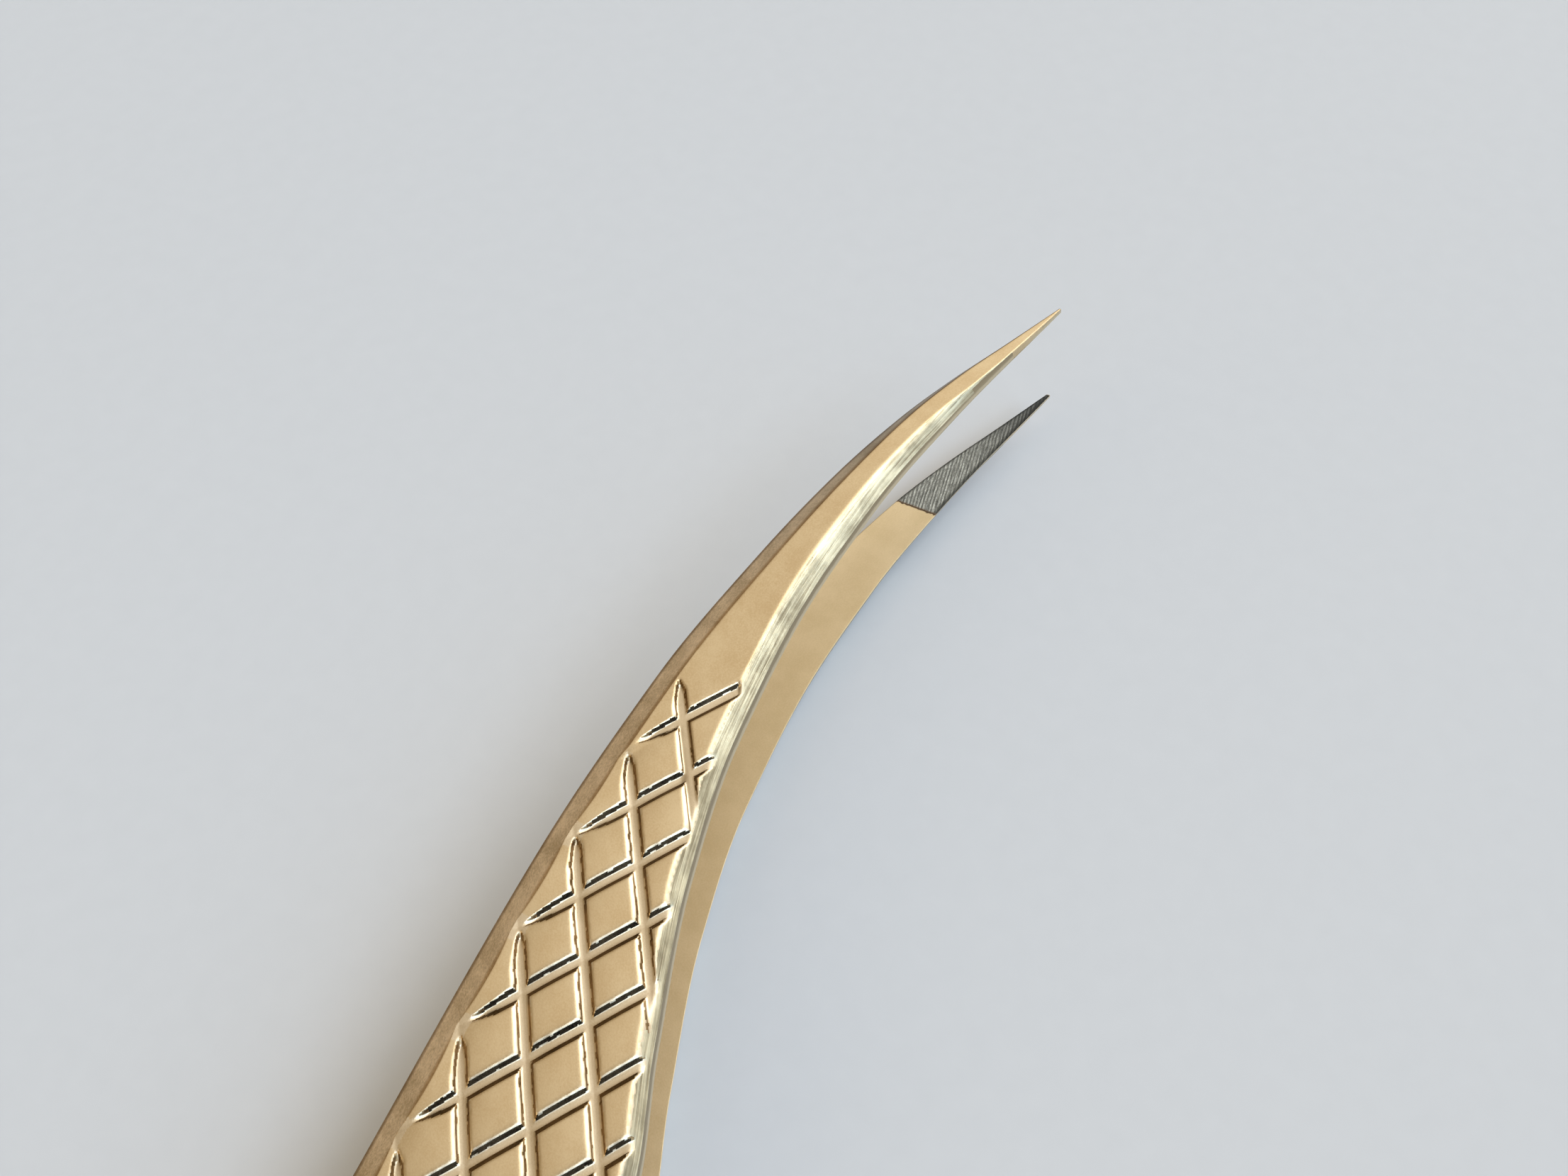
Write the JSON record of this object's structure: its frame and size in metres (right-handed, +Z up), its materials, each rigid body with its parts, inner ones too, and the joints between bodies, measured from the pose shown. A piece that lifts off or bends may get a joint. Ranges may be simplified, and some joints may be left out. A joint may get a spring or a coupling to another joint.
{
  "type": "curved lash tweezers",
  "caption": "Curved fine-point tweezers with sprung arms welded at the tail, diamond-grooved grips, ground bevelled edges and rough-coated points.",
  "frame": {"origin": "centre of the tweezers' bounding box, on the surface that they lie on", "axes": "+X along the handle to the points, +Y towards the convex side of the curve, +Z up, the direction in which the arms close"},
  "size_m": [0.1201, 0.0101, 0.0075],
  "materials": {
    "gold_steel": "satin pale gold plating over stainless steel, brushed along the ground edges",
    "tip_coating": "rough dark grey grit coating with fine ridges along the point",
    "weld": "plated weld bead, satin"
  },
  "bodies": {
    "tail": {"upper_arm_root": "gold_steel", "lower_arm_root": "gold_steel", "tail_weld": "weld"},
    "upper_arm": {"upper_arm": "gold_steel", "upper_tip_coating": "tip_coating"},
    "lower_arm": {"lower_arm": "gold_steel", "lower_tip_coating": "tip_coating"}
  },
  "joints": [
    {"name": "upper_arm_flex", "type": "hinge", "parent": "tail", "child": "upper_arm", "pos_m": [-0.02602, 0, 0.00285], "axis": [0, 1, 0], "range_deg": [0, 1.83], "stiffness_Nm_per_rad": 1.6},
    {"name": "lower_arm_flex", "type": "hinge", "parent": "tail", "child": "lower_arm", "pos_m": [-0.02596, 0, 0.00097], "axis": [0, -1, 0], "range_deg": [0, 1.83], "stiffness_Nm_per_rad": 1.6}
  ],
  "couplings": [
    {"joint": "lower_arm_flex", "follows": "upper_arm_flex", "ratio": 1}
  ]
}
